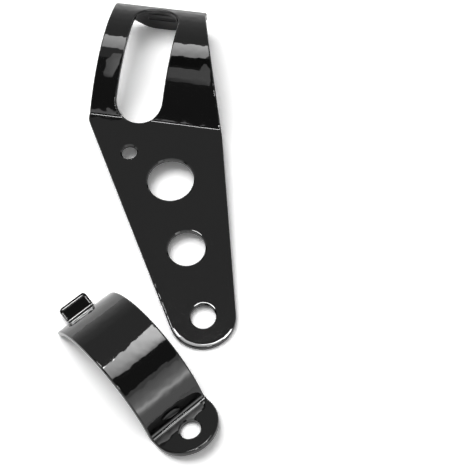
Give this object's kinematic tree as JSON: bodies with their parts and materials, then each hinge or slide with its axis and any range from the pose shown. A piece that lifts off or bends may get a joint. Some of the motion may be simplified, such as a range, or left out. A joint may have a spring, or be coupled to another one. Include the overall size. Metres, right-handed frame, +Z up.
{
  "type": "headlight mounting bracket",
  "caption": "Pressed steel headlight bracket for a fork tube: a tapered ear with round holes and a windowed saddle, and a separate curved clamp strap with a bolt ear and hook tab, gloss black.",
  "frame": {"origin": "centre of the lamp bolt hole on the ear's inner face", "axes": "+X along the fold between plate and saddle, +Y from the lamp bolt hole towards the saddle, +Z up from the surface on which both pieces lie"},
  "size_m": [0.0815, 0.2115, 0.0225],
  "materials": {
    "gloss_black_paint": "gloss"
  },
  "bodies": {
    "root": {"fork_ear": "gloss_black_paint", "clamp_strap": "gloss_black_paint"}
  },
  "joints": []
}
